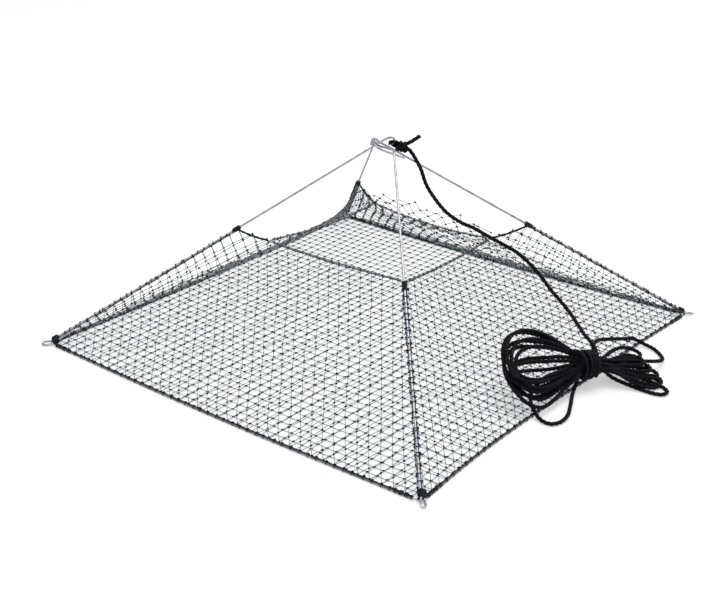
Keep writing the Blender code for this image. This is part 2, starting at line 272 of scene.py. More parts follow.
# %% A ring carried along lines
def rings_mesh(lines, facing, radius, sides, lobes=0, pitch=1.0, groove=0.0):
    """Closed strands. lines is (strands, points, 3), and facing is a direction at each point.
    point = line + r (facing cos(turn) + beside sin(turn)), where beside = heading x facing, and
    r = radius (1 - groove (1 - |cos(lobes turn' / 2)|)), with turn' counted on the turning ring.
    Gives points, faces of each number of corners, and the map's corners."""
    count, steps = lines.shape[:2]
    heading = unit(np.gradient(lines, axis=1))
    facing = square_to(heading, np.broadcast_to(facing, lines.shape))
    beside = np.cross(heading, facing)
    gaps = np.linalg.norm(np.diff(lines, axis=1), axis=2)
    along = np.concatenate((np.zeros((count, 1)), np.cumsum(gaps, axis=1)), axis=1)
    own = np.linspace(0, 2 * np.pi, sides, endpoint=False)
    turn = own + (2 * np.pi * along / pitch if lobes else 0 * along)[..., None]
    size = np.broadcast_to(radius, along.shape)[..., None]
    size = size * (1 - groove * (1 - np.abs(np.cos(lobes * own / 2))))
    points = (lines[:, :, None] + facing[:, :, None] * (size * np.cos(turn))[..., None]
              + beside[:, :, None] * (size * np.sin(turn))[..., None])
    index = np.arange(count * steps * sides).reshape(count, steps, sides)
    after = np.roll(index, -1, axis=2)
    quads = np.stack((index[:, :-1], after[:, :-1], after[:, 1:], index[:, 1:]), axis=-1).reshape(-1, 4)
    caps = np.concatenate((index[:, 0, ::-1], index[:, -1]))
    side = np.broadcast_to(np.arange(sides) / sides, index[:, :-1].shape)
    low = np.broadcast_to(along[:, :-1, None], side.shape)
    high = np.broadcast_to(along[:, 1:, None], side.shape)
    step = side + 1 / sides
    quad_map = np.stack((low, side, low, step, high, step, high, side), axis=-1).reshape(-1, 2)
    cap_map = np.zeros((caps.size, 2))
    return points.reshape(-1, 3), [quads, caps], np.concatenate((quad_map, cap_map))


def spindles_mesh(middles, lengthways, facing, half_length, half_width, sides=6):
    """Small closed lumps, pointed at both ends: point = middle + lengthways h z + ring r(z)."""
    shape = np.array(((-1.0, 0.0), (-0.72, 0.80), (0.06, 1.0), (0.74, 0.78), (1.0, 0.0)))
    count = len(middles)
    lengthways = unit(np.broadcast_to(lengthways, middles.shape))
    facing = square_to(lengthways, np.broadcast_to(facing, middles.shape))
    beside = np.cross(lengthways, facing)
    half_length, half_width = (np.broadcast_to(size, (count,))[:, None, None, None]
                               for size in (half_length, half_width))
    turn = np.linspace(0, 2 * np.pi, sides, endpoint=False)[None, None, :, None]
    inner = shape[1:-1]
    rings = (middles[:, None, None] + lengthways[:, None, None] * half_length * inner[None, :, None, :1]
             + half_width * inner[None, :, None, 1:] * (facing[:, None, None] * np.cos(turn)
                                                       + beside[:, None, None] * np.sin(turn)))
    tips = middles[:, None] + lengthways[:, None] * half_length[:, 0] * shape[[0, -1], 0][None, :, None]
    points = np.concatenate((rings.reshape(count, -1, 3), tips), axis=1)
    here = np.arange(sides)
    there = np.roll(here, -1)
    band = np.column_stack((here, there, there + sides, here + sides))
    bands = [band + k * sides for k in range(len(inner) - 1)]
    last = (len(inner) - 1) * sides
    low = np.column_stack((there, here, np.full(sides, last + sides)))
    high = np.column_stack((here + last, there + last, np.full(sides, last + sides + 1)))
    first_point = (np.arange(count) * points.shape[1])[:, None, None]
    quads = (np.concatenate(bands) + first_point).reshape(-1, 4)
    tips_faces = (np.concatenate((low, high)) + first_point).reshape(-1, 3)
    flat = points.reshape(-1, 3)
    corners = np.concatenate((quads.ravel(), tips_faces.ravel()))
    return flat, [quads, tips_faces], flat[corners][:, :2]


def piece(name, parts, finishes, replaces):
    """One object from several sets of (points, faces, map, finish number)."""
    points, loops, starts, numbers, maps = [], [], [], [], []
    before, corners = 0, 0
    for part_points, part_faces, part_map, number in parts:
        points.append(part_points)
        maps.append(part_map)
        for faces in part_faces:
            loops.append((faces + before).ravel())
            starts.append(corners + np.arange(len(faces)) * faces.shape[1])
            numbers.append(np.full(len(faces), number))
            corners += faces.size
        before += len(part_points)
    points, loops, starts = np.concatenate(points), np.concatenate(loops), np.concatenate(starts)
    mesh = bpy.data.meshes.new(name)
    mesh.vertices.add(len(points))
    mesh.vertices.foreach_set("co", points.astype(np.float32).ravel())
    mesh.loops.add(len(loops))
    mesh.loops.foreach_set("vertex_index", loops.astype(np.int32))
    mesh.polygons.add(len(starts))
    mesh.polygons.foreach_set("loop_start", starts.astype(np.int32))
    mesh.polygons.foreach_set("material_index", np.concatenate(numbers).astype(np.int32))
    mesh.uv_layers.new(name="along").data.foreach_set("uv", np.concatenate(maps).astype(np.float32).ravel())
    mesh.update(calc_edges=True)
    mesh.shade_smooth()
    for finish in finishes:
        mesh.materials.append(finish)
    made = placed(name, mesh)
    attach(made, "root")
    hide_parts(*replaces)
    size = np.diff(np.append(starts, len(loops)))
    print(f"{name}: {int((size - 2).sum())} triangles")
    return made


def carried_facing(line, first):
    """A direction at each point of a line that turns with the line and not round it: each one is the last,
    made square to the line's new heading."""
    heading = unit(np.gradient(line, axis=0))
    facing = np.empty_like(line)
    side = np.asarray(first, float)
    for k, along in enumerate(heading):
        side = square_to(along, side)
        facing[k] = side
    return facing


# %% [markdown]
# ## The lifting rope
# It is a black three-strand rope, 5.3 mm thick. It leaves the knot at the hooks, hangs down to the mouth,
# crosses the right wall and ends in a hank with its own end wound round the waist. A rope keeps its length,
# so it is one line from end to end: the lead, then ten loops to each side of the tie, then the turns of the
# tie. The lead's points are listed, and the loops come from tables of how far each one reaches.

# %% The rope's sizes and its lead
ROPE = 0.0053
ROPE_LAY = 0.0185
LEAD = (
    (0.0290, 0.0232, 0.2538), (0.0345, 0.0249, 0.2502), (0.0406, 0.0292, 0.2390), (0.0466, 0.0328, 0.2255),
    (0.0528, 0.0356, 0.2068), (0.0606, 0.0405, 0.1911), (0.0742, 0.0507, 0.1698), (0.0887, 0.0640, 0.1550),
    (0.1010, 0.0750, 0.1470), (0.1130, 0.0860, 0.1370), (0.1303, 0.1029, 0.1224), (0.1448, 0.1121, 0.1126),
    (0.1646, 0.1157, 0.0992), (0.1848, 0.1139, 0.0856), (0.1997, 0.1103, 0.0755), (0.2279, 0.1075, 0.0565),
    (0.2530, 0.0880, 0.0528), (0.2765, 0.0680, 0.0507), (0.2905, 0.0620, 0.0455), (0.2995, 0.0575, 0.0390))
TIE = np.array((0.3006, 0.0419, 0.0280))
print("points of the lead:", len(LEAD))

# %% [markdown]
# The left loops lie on the sloping wall, so they are drawn on three directions: away from the tie, across
# towards the base edge, and off the wall. The right loops lie on the ground past the edge of the net. In the
# tie the strands are packed like a honeycomb, a little closer than round strands go, because they are soft.

# %% Directions of the hank, and the honeycomb in its tie
OFF_WALL = unit((0.559, 0.0, 0.829))
AWAY = unit((-0.340, -0.913, 0.229))
ACROSS = np.cross(OFF_WALL, AWAY)
TIE_OFF_WALL = 0.023
RIGHTWARDS = unit((0.556, 0.815, -0.163))
RIGHT_ACROSS = unit(np.cross(RIGHTWARDS, UP))
WAIST = unit(RIGHTWARDS - AWAY)
WAIST_ACROSS = unit(np.cross(WAIST, UP))
WAIST_UP = np.cross(WAIST_ACROSS, WAIST)


def honeycomb(spacing, count):
    """The places nearest the middle of a triangular lattice: i (1, 0) + j (1/2, root 3 / 2)."""
    i, j = (axis.ravel() for axis in np.meshgrid(np.arange(-3, 4), np.arange(-3, 4)))
    places = np.column_stack((i + j / 2, j * np.sqrt(3) / 2)) * spacing
    order = np.argsort(np.round(np.linalg.norm(places, axis=1), 6), kind="stable")
    return places[order[:count]]


LOOPS = 10
TIE_REACH = 0.011
packed = honeycomb(ROPE * 0.96, 2 * LOOPS)
packed = packed[np.argsort(packed[:, 0] + 1e-3 * packed[:, 1])]
towards_back, towards_front = (half[np.argsort(-half[:, 1])] for half in (packed[:LOOPS], packed[LOOPS:]))


def through_tie(place, direction):
    """Three points of a strand through the tie, at its place in the honeycomb: across, then up."""
    middle = TIE + WAIST_ACROSS * place[0] + WAIST_UP * place[1]
    return [middle + WAIST * direction * step for step in (-TIE_REACH, 0.0, TIE_REACH)]


print("strands in the tie:", len(packed))

# %% [markdown]
# A left loop is a teardrop. Its upper side swings out to `back`, its end reaches `reach`, and its lower side
# comes home at `front`. `off` is its layer on the wall. One loop has slipped out of the rest and hangs over
# the base edge onto the ground.

# %% Left loops
TEARDROP = np.array((
    (0.15, -0.36), (0.30, -0.74), (0.46, -0.97), (0.62, -1.00), (0.79, -0.86), (0.925, -0.52),
    (0.995, -0.06), (0.985, 0.42), (0.90, 0.84), (0.76, 1.00), (0.58, 0.84), (0.38, 0.54), (0.19, 0.28)))
LEFT_LOW, LETS_GO, LIES_DOWN = 0.0032, 0.012, 0.050
LEFT = (   # back, front, reach, off
    (0.056, 0.020, 0.121, 0.0175),
    (0.044, 0.027, 0.115, 0.0160),
    (0.034, 0.014, 0.109, 0.0140),
    (0.013, 0.030, 0.118, 0.0125),
    (0.058, 0.023, 0.122, 0.0105),
    (0.003, 0.026, 0.107, 0.0095),
    (0.040, 0.048, 0.121, 0.0065),
    (0.023, 0.036, 0.113, 0.0055),
    (0.050, 0.031, 0.117, 0.0035))
SLIPPED_AT = 5
SLIPPED = (
    (0.2870, -0.0100, 0.0340), (0.2815, -0.0340, 0.0330), (0.2798, -0.0530, 0.0262),
    (0.2845, -0.0654, 0.0175), (0.2916, -0.0691, 0.0095), (0.3057, -0.0749, 0.0036),
    (0.3191, -0.0747, 0.0030), (0.3253, -0.0651, 0.0030), (0.3240, -0.0464, 0.0030),
    (0.3141, -0.0232, 0.0032), (0.3025, 0.0012, 0.0060), (0.2985, 0.0150, 0.0110))


def left_loop(back, front, reach, off):
    """Points of a teardrop on the wall: tie's foot + away a + across b + off-wall h, where h eases from the
    tie's own height down to the loop's layer over the first part of the way."""
    a = TEARDROP[:, 0] * reach
    b = TEARDROP[:, 1] * np.where(TEARDROP[:, 1] < 0, back, front)
    ease = np.clip((a - LETS_GO) / LIES_DOWN, 0, 1)
    h = TIE_OFF_WALL + (off - TIE_OFF_WALL) * ease * ease * (3 - 2 * ease)
    points = TIE - OFF_WALL * TIE_OFF_WALL + a[:, None] * AWAY + b[:, None] * ACROSS + h[:, None] * OFF_WALL
    points[:, 2] = np.maximum(points[:, 2], LEFT_LOW)
    return points


print("left loops:", len(LEFT), "and one that slipped")

# %% [markdown]
# A right loop is a long U. `near` and `far` are the sides of the U across the bundle, and `reach` is how far
# it goes. `up` is its layer. Two more have slipped out: a big one at the back, and a long thin one in front.

# %% Right loops
RIGHT_LOW = 0.0034
SIDES_AT, SIDES_SPREAD = (0.028, 0.050), (0.45, 0.86)
RIGHT = (   # near, far, reach, up
    (-0.012, -0.042, 0.082, 0.0045),
    (0.008, -0.021, 0.076, 0.0040),
    (0.017, -0.012, 0.081, -0.0005),
    (0.025, -0.004, 0.087, -0.0050),
    (0.012, -0.017, 0.071, -0.0065),
    (0.032, 0.003, 0.089, -0.0120),
    (-0.001, -0.031, 0.078, -0.0110),
    (0.036, 0.007, 0.085, -0.0175))
SLIPPED_BACK = (
    (0.3161, 0.0694, 0.0270), (0.3302, 0.0924, 0.0225), (0.3424, 0.1140, 0.0170), (0.3463, 0.1361, 0.0100),
    (0.3414, 0.1552, 0.0045), (0.3323, 0.1660, 0.0034), (0.3171, 0.1759, 0.0034), (0.3034, 0.1772, 0.0050),
    (0.2923, 0.1703, 0.0111), (0.2881, 0.1501, 0.0178), (0.2819, 0.1134, 0.0290), (0.2828, 0.0869, 0.0370),
    (0.2905, 0.0660, 0.0375))
SLIPPED_FRONT = (
    (0.3120, 0.0540, 0.0185), (0.3230, 0.0590, 0.0105), (0.3420, 0.0640, 0.0050), (0.3634, 0.0660, 0.0030),
    (0.3780, 0.0672, 0.0030), (0.3860, 0.0715, 0.0030), (0.3872, 0.0800, 0.0030), (0.3800, 0.0868, 0.0030),
    (0.3650, 0.0890, 0.0040), (0.3474, 0.0855, 0.0070), (0.3245, 0.0765, 0.0130))


def right_loop(near, far, reach, up):
    """Points of a U: tie + rightwards c + across e + up h. Its sides spread from the tie's width to `near`
    and `far`, and its end is half a circle."""
    round_end = abs(near - far) / 2
    turn = np.linspace(0, np.pi, 5)
    at, spread = np.array(SIDES_AT), np.array(SIDES_SPREAD)
    c = np.concatenate((at, reach - round_end + round_end * np.sin(turn), at[::-1]))
    bend = (near + far) / 2 + (near - far) / 2 * np.cos(turn)
    e = np.concatenate((near * spread, bend, far * spread[::-1]))
    ease = np.clip((c - 0.020) / 0.045, 0, 1)[:, None]
    points = TIE + c[:, None] * RIGHTWARDS + e[:, None] * RIGHT_ACROSS + ease * up * UP
    points[:, 2] = np.maximum(points[:, 2], RIGHT_LOW)
    return points


print("right loops:", len(RIGHT), "and two slipped")

# %% [markdown]
# The tie is the last stretch of the rope: three turns side by side round the waist. They end in a short free
# end tucked along the loops.

# %% The whole line of the rope
TURNS, RUN_OFF = 3.0, 0.8


def tie_turns(each=16):
    """A helix round the waist: tie + waist w + r (across cos + up sin). It climbs onto the bundle from
    behind and below in its first half turn, and runs off it in its last four fifths of a turn."""
    turn = np.linspace(0, 2 * np.pi * (TURNS + RUN_OFF), int((TURNS + RUN_OFF) * each))[:, None]
    angle = turn + 1.15 * np.pi
    done = turn / (2 * np.pi)
    climb = np.clip(2 * done, 0, 1)
    leave = np.clip((done - TURNS) / RUN_OFF, 0, 1)
    radius = ROPE * (2.15 + 0.87 * climb + 0.10 * leave)
    w = 0.0040 - 0.0150 * np.clip(done / TURNS, 0, 1) + 0.018 * (1 - climb) ** 2 - 0.013 * leave ** 2
    return TIE + WAIST * w + radius * (WAIST_ACROSS * np.cos(angle) + WAIST_UP * np.sin(angle))


def rope_points():
    """The lead, then every loop with its way through the tie, then the tie's turns."""
    left = [left_loop(*row) for row in LEFT]
    left.insert(SLIPPED_AT, SLIPPED)
    right = [SLIPPED_BACK, *(right_loop(*row) for row in RIGHT), SLIPPED_FRONT]
    parts = [LEAD]
    for k in range(LOOPS):
        parts += [through_tie(towards_back[k], -1), left[k], through_tie(towards_front[k], 1), right[k]]
    return np.vstack((*parts, tie_turns()))


RING_STEP = 0.00115
route = rope_points()
ROPE_LENGTH = float(lengths_along(smooth(route, 4000))[-1])
rope_line = smooth(route, int(ROPE_LENGTH / RING_STEP))
print(f"rope: {ROPE_LENGTH:.3f} m, {len(rope_line)} rings")

# %% [markdown]
# The rope's surface has three lobes that turn once in 18.5 mm, as three strands laid together do. The knot
# is the same rope wound round itself, with its free end standing out, so they are pieces on the cord.

# %% The rope, its knot and its tail
def laid_tube(name, line, first_facing, thick, sides, pitch, groove, finish, replaces):
    """A tube with three lobes: the strands of a rope or a cord."""
    facing = carried_facing(line, first_facing)[None]
    return piece(name, [(*rings_mesh(line[None], facing, thick / 2, sides, 3, pitch, groove), 0)], [finish],
                 replaces)


def rope_tube(name, line, first_facing, replaces):
    return laid_tube(name, line, first_facing, ROPE, 12, ROPE_LAY, 0.30, BLACK_ROPE, replaces)


KNOT_FROM, KNOT_TO = np.array((0.0205, 0.0165, 0.2556)), np.array((0.0300, 0.0240, 0.2530))
KNOT_EYE = ((0.0195, 0.0175, 0.2545), (0.0155, 0.0135, 0.2570), (0.0142, 0.0108, 0.2598),
            (0.0172, 0.0118, 0.2612))
KNOT_AXIS = unit(KNOT_TO - KNOT_FROM)
KNOT_ACROSS = unit(np.cross(KNOT_AXIS, UP))
KNOT_UP = np.cross(KNOT_ACROSS, KNOT_AXIS)
TAIL = ((0.0290, 0.0225, 0.2575), (0.0325, 0.0277, 0.2595), (0.0365, 0.0325, 0.2630),
        (0.0410, 0.0378, 0.2672))


def knot_line(turns=2.6, radius=0.0046):
    """Through the eye of the hook, then a helix round the knot's axis."""
    turn = np.linspace(0.8 * np.pi, (0.8 + 2 * turns) * np.pi, int(16 * turns))[:, None]
    share = np.linspace(0.0, 1.0, len(turn))[:, None]
    coil = (KNOT_FROM + (KNOT_TO - KNOT_FROM) * share
            + radius * (KNOT_ACROSS * np.cos(turn) + KNOT_UP * np.sin(turn)))
    return smooth(np.vstack((KNOT_EYE, coil)), 220)


rope = rope_tube("lifting_rope", rope_line, (0.8, -0.6, 0.0), ("rope_lead", "rope_hank", "rope_tie"))
knot = rope_tube("rope_knot_turns", knot_line(), (0.0, 0.3, 1.0), ("rope_knot",))
tail = rope_tube("rope_free_end", smooth(TAIL, 24), (0.7, -0.7, 0.0), ("rope_tail",))

# %% [markdown]
# ## The shape of the netting
# The netting follows the same edges as the frame's sheets: the base edges bow a little between the corners,
# the cords of the mouth sag, and the back and left walls are slack. `WALLS` repeats those sizes. The arms'
# ends and the mouth's corners are the frame's own.

# %% Corners and walls
FEET = {"left": (-0.300, -0.300, 0.0050), "front": (0.300, -0.300, 0.0050),
        "right": (0.300, 0.300, 0.0050), "back": (-0.300, 0.300, 0.0050)}
TOPS = {"left": (0.0030, 0.0025, 0.2590), "front": (0.0380, -0.0120, 0.2590),
        "right": (0.0064, 0.0008, 0.2609), "back": (-0.0050, -0.0019, 0.2506)}
MOUTH_SHARE = {"left": 0.576, "front": 0.574, "right": 0.535, "back": 0.548}
MOUTH_CORNER = {"left": (-0.0979, -0.0979, 0.1344), "front": (0.1185, -0.0915, 0.1340),
                "right": (0.1062, 0.1062, 0.1250), "back": (-0.0841, 0.1046, 0.1300)}
WALLS = {
    "front": dict(ends=("left", "front"), bow=(0.003, 0.005, 0.005, 0.003), sag=0.004, pouch=0.004,
                  belly=0.001, fold=0.0012, waves=2.0, sway=0.0, frill_rows=0, knot_lean=0.55),
    "right": dict(ends=("front", "right"), bow=(-0.008, -0.009, -0.006, -0.005), sag=0.006, pouch=0.002,
                  belly=0.001, fold=0.0010, waves=1.6, sway=0.0, frill_rows=0, knot_lean=-0.55),
    "back": dict(ends=("right", "back"), bow=(-0.005, -0.007, -0.007, -0.005), sag=0.005, pouch=0.002,
                 belly=0.004, fold=0.0022, waves=1.3, sway=0.0050, frill_rows=4, knot_lean=0.4),
    "left": dict(ends=("back", "left"), bow=(-0.004, -0.006, -0.006, -0.004), sag=0.005, pouch=0.002,
                 belly=0.003, fold=0.0020, waves=1.5, sway=0.0044, frill_rows=0, knot_lean=-0.4),
}
LINK_DRAWN_IN = {"front": 0.35}
EDGE_Z = 0.0018
COLUMNS, ROWS = 37, 21


def mouth_point(corner):
    """The point of an arm where the mouth is lashed to it: foot + share (top - foot)."""
    foot = np.array(FEET[corner])
    return foot + (np.array(TOPS[corner]) - foot) * MOUTH_SHARE[corner]


def wall_directions(wall):
    """Along the base edge of a wall, and level outwards from it."""
    first, second = (np.array(FEET[c]) for c in WALLS[wall]["ends"])
    along = unit(second - first)
    return along, np.cross(along, UP)


def base_line(wall, share):
    """A point of the base edge: first + share (second - first) + outwards bow(share)."""
    first, second = (np.array(FEET[c]) * (1, 1, 0) for c in WALLS[wall]["ends"])
    bow = WALLS[wall]["bow"]
    stations = np.linspace(0, 1, len(bow) + 2)
    curve = smooth(np.column_stack((stations, (0, *bow, 0), np.zeros(len(bow) + 2))), 121)
    out = np.interp(share, curve[:, 0], curve[:, 1])
    return first + (second - first) * share[..., None] + wall_directions(wall)[1] * out[..., None]


def mouth_cord_line(wall, count=61):
    """The sagging cord of the mouth: straight line - up 4 s (1 - s) sag + inwards half of that."""
    first, second = (np.array(MOUTH_CORNER[c]) for c in WALLS[wall]["ends"])
    share = np.linspace(0, 1, count)[:, None]
    inwards = unit(np.cross(UP, second - first))
    hang = 4 * share * (1 - share) * WALLS[wall]["sag"]
    return first + (second - first) * share + inwards * hang * 0.5 - UP * hang


def wall_top(wall, share):
    """The top edge of the netting, along the link, the mouth cord and the other link, by distance."""
    first, second = (mouth_point(c) for c in WALLS[wall]["ends"])
    line = spaced(np.vstack((first, mouth_cord_line(wall), second)), 401)
    links = [np.linalg.norm(mouth_point(c) - MOUTH_CORNER[c]) for c in WALLS[wall]["ends"]]
    even = np.array(links) / lengths_along(line)[-1]
    near, far = (own * LINK_DRAWN_IN.get(c, 1.0) for own, c in zip(even, WALLS[wall]["ends"]))
    place = np.interp(share, (0, near, 1 - far, 1), (0, even[0], 1 - even[1], 1))
    return np.stack([np.interp(place, np.linspace(0, 1, 401), axis) for axis in line.T], axis=-1)


print("walls:", ", ".join(WALLS))

# %% [markdown]
# A wall's surface blends from its base edge up to its mouth edge. Its middle hangs a little, long shallow
# folds run along it, and near the arms it is drawn tight again. The back wall's netting goes on past the
# mouth cord and stands up as a frill.

# %% The surface of a wall
FOOT_LIFT = 0.0045
SIDE_INSET = 0.0036
TOP_DROP = 0.0008
POUCH_AT = 0.12
FRILL_ROW = 0.0058
FRILL_REACH = 0.34


def wall_surface(wall, s, t):
    """(1 - t) base(s) + t top(s) + fade(s) (outwards (pouch t / 0.12 exp(1 - t / 0.12) + 0.6 belly
    sin(pi t)) - up 0.8 belly sin(pi t)) + folds, for t up to 1. Past 1 it rises as the frill."""
    details = WALLS[wall]
    along, outwards = wall_directions(wall)
    low = np.minimum(t, 1.0)
    arch = np.sin(np.pi * low)
    inset = SIDE_INSET * (1 - 2 * s)[..., None] * along
    base = base_line(wall, s) + UP * FOOT_LIFT + inset
    top = wall_top(wall, s) + inset * 0.8 - UP * TOP_DROP
    fade = np.clip(np.sin(np.pi * s), 0, 1) ** 0.8
    pouch = details["pouch"] * low / POUCH_AT * np.exp(1 - low / POUCH_AT)
    ripple = details["fold"] * np.sin(2 * np.pi * (details["waves"] * low + 0.8 * s + 0.16 * np.sin(9 * s)))
    out = fade * (pouch + (0.6 * details["belly"] + ripple) * arch)
    rise = fade * 0.8 * (ripple - details["belly"]) * arch
    sway = details["sway"] * np.sin(2 * np.pi * (1.15 * low + 1.2 * s)) * arch * fade
    past = (t - low) * ROWS * np.clip(7 * np.minimum(s, 1 - s) - 0.9, 0, 1)
    lean = np.sin(9 * np.pi * s + 0.9 * (t - low) * ROWS)
    out += past * (0.0008 + 0.0012 * lean)
    rise += past * FRILL_ROW * (0.92 + 0.08 * lean)
    blend = (1 - low)[..., None] * base + low[..., None] * top
    return blend + out[..., None] * outwards + rise[..., None] * UP + sway[..., None] * along


def normals_of(wall, s, t):
    """The wall's outward direction, from the cross product of two small steps on its surface."""
    step = 0.004
    across, upwards = (wall_surface(wall, s + a, t + b) - wall_surface(wall, s - a, t - b)
                       for a, b in ((step, 0), (0, step)))
    return unit(np.cross(across, upwards))


print("folds:", {wall: details["fold"] for wall, details in WALLS.items()})

# %% [markdown]
# ## The mesh of a wall
# The netting is knotted into diamonds whose bars run parallel to the two arms. Row r has one knot fewer than
# the row below, so knot k of row r sits at s = k / (columns - r). A bar joins a knot to the two knots above
# it. Each bar is a thin closed strand that ends inside its knots, with a little slack in its middle.

# %% Knots and bars of a wall
TWINE = 0.0008


def wobble(shape, size):
    """Small uneven shifts, the same each run."""
    return draw.normal(0.0, size, (*shape, 3))


def wall_knots(wall):
    """Every knot's place, as an array (rows, columns + 1), with unused ones at the end of each row."""
    rows = ROWS + WALLS[wall]["frill_rows"]
    r, k = np.meshgrid(np.arange(rows + 1), np.arange(COLUMNS + 1), indexing="ij")
    used = k <= COLUMNS - r
    s = np.where(used, k / (COLUMNS - r), 0.5)
    used &= (r <= ROWS) | (np.abs(s - 0.5) < FRILL_REACH)
    t = r / ROWS
    slack = 0.0010 if wall in ("back", "left") else 0.0006
    inner = np.clip(np.minimum(r, 3) / 3, 0.2, 1) * np.clip(4 * np.minimum(s, 1 - s), 0.1, 1)
    shift = wobble(r.shape, slack) * inner[..., None]
    return wall_surface(wall, s, t) + shift, normals_of(wall, s, t), used


def bar_lines(starts, ends, facing, slack):
    """Strands of three points: start, a middle that sags by `slack` off the straight line, end."""
    middle = (starts + ends) / 2 + facing * slack[:, None]
    return np.stack((starts, middle, ends), axis=1)


def wall_bars(knots, normals, used):
    """Bars up to the right, knot k to knot k of the next row, and up to the left, knot k + 1 to knot k."""
    right_pairs = used[:-1] & used[1:]
    left_pairs = used[:-1, 1:] & used[1:, :-1]
    starts = np.concatenate((knots[:-1][right_pairs], knots[:-1, 1:][left_pairs]))
    ends = np.concatenate((knots[1:][right_pairs], knots[1:, :-1][left_pairs]))
    facing = np.concatenate((normals[:-1][right_pairs], normals[:-1, 1:][left_pairs]))
    lines = bar_lines(starts, ends, facing, draw.normal(0.0, 0.0006, len(starts)))
    return lines, facing[:, None]


bar = float(np.linalg.norm(np.array(FEET["left"]) - mouth_point("left"))) / ROWS
print(f"bars are {1000 * bar:.1f} mm")

# %% [markdown]
# ## Edges of the netting
# The netting's rim is laced on. Two strands run along the base cord and are whipped to it at about every
# mesh, a strand runs down each side of an arm with rungs over the wire, and one follows the mouth cord. On
# the two slack walls the surplus netting is bunched along the base in a dark band: its knots are of the dark
# twine, and every second strand is given that twine too, as painted shade of the packed netting.

# %% Rims, rungs and whippings
WIRE = 0.0028
EDGE_CORD = 0.0030
MOUTH_CORD = 0.0020
STRAND = 0.00096
WHIPPING = 0.00095
RUNG = 0.0009
LACING = 0.0008


def loops_round(middles, along, first, half_first, half_second, thick, steps=10):
    """Small hoops of twine square to `along`: middle + a first cos + b second sin. Each hoop overlaps itself
    a little and is drawn as a short spiral, so its ends lie side by side."""
    turn = np.linspace(0, 2.06 * np.pi, steps + 1)[None, :, None]
    along = unit(np.broadcast_to(along, middles.shape))[:, None]
    first = square_to(along, np.broadcast_to(first, middles.shape)[:, None])
    second = np.cross(along, first)
    half_first = np.broadcast_to(half_first, (len(middles),))[:, None, None]
    drift = along * (turn / (2 * np.pi) - 0.5) * thick * 0.9
    lines = (middles[:, None] + first * half_first * np.cos(turn) + second * half_second * np.sin(turn)
             + drift)
    outward = first * np.cos(turn) + second * np.sin(turn)
    return rings_mesh(lines, outward, thick / 2, 5)


def base_whipping(wall):
    """Hoops round the base cord and the strands on it, about one for each mesh and more of them towards the
    corners, with their knots."""
    share = np.concatenate((np.linspace(0.020, 0.058, 9), np.linspace(0.064, 0.936, 42),
                            np.linspace(0.942, 0.980, 9)))
    count = len(share)
    share += draw.normal(0, 0.0016, count)
    middles = base_line(wall, share) + UP * (EDGE_Z + 0.0010)
    along, outwards = wall_directions(wall)
    hoops = loops_round(middles, along, UP, 0.0021 + draw.uniform(0, 0.0003, count), 0.0021, WHIPPING)
    top = middles + UP * 0.0022 - outwards * draw.uniform(-0.0006, 0.0012, count)[:, None]
    return hoops, spindles_mesh(top, along + UP * 0.3, UP, draw.uniform(0.0014, 0.0021, count), 0.0011)


def base_strands(wall):
    """Two strands on the base cord: one on its top and one on its inner side, both a little wavy."""
    share = np.linspace(0.018, 0.982, 120)
    line = base_line(wall, share)
    outwards = wall_directions(wall)[1]
    wave = np.sin(2 * np.pi * share * COLUMNS)[:, None] * 0.0003
    top = line + UP * (EDGE_Z + 0.0021) + outwards * (0.0004 + wave)
    inner = line + UP * (EDGE_Z + 0.0014) - outwards * (0.0015 + wave)
    return rings_mesh(np.stack((top, inner)), UP, STRAND / 2, 5)


def side_strands(wall):
    """A strand along each arm, a wire's width to the wall's side of it, and the strand at the mouth."""
    lines = []
    along, outwards = wall_directions(wall)
    for corner, sign in zip(WALLS[wall]["ends"], (1, -1)):
        foot, mouth = np.array(FEET[corner]), mouth_point(corner)
        share = np.linspace(0.025, 1.0, 90)[:, None]
        turn = 2 * np.pi * share
        wave = 0.0003 * np.sin(turn * ROWS + 1.0) + 0.0006 * np.sin(turn * 7.3 + sign)
        lines.append(foot + (mouth - foot) * share + along * sign * (WIRE + wave) - UP * 0.0002)
    top = wall_top(wall, np.linspace(0.0, 1.0, 90))
    lines.append(top - UP * 0.0014 + outwards * 0.0007)
    return rings_mesh(np.stack(lines), outwards + UP, STRAND / 2, 5)


def arm_rungs(wall):
    """Hoops over the wire of the wall's first arm, at uneven distances: they hold the strands of both sides
    to it, so they are flat ovals, each a little askew."""
    corner = WALLS[wall]["ends"][0]
    foot, mouth = np.array(FEET[corner]), mouth_point(corner)
    along = unit(mouth - foot)
    level = unit(np.cross(along, UP))
    count = 31
    share = (np.arange(count) + 1.4) / (count + 1) + draw.normal(0, 0.008, count)
    middles = foot + (mouth - foot) * share[:, None]
    askew = along + level * draw.normal(0.0, 0.22, count)[:, None]
    hoops = loops_round(middles, askew, level, draw.uniform(0.0030, 0.0038, count), 0.0021, RUNG)
    side = np.where(np.arange(count) % 2, 1, -1)[:, None]
    lumps = spindles_mesh(middles + level * side * 0.0031 + UP * 0.0004, along, UP,
                          draw.uniform(0.0013, 0.0019, count), 0.0010)
    return hoops, lumps


def mouth_lacing(wall):
    """Hoops that lace the netting to the mouth cord, about one for each mesh."""
    line = spaced(mouth_cord_line(wall), 20)[1:-1]
    along = unit(line[-1] - line[0])
    return loops_round(line - UP * 0.0006, along, UP, 0.0021, 0.0016, LACING)


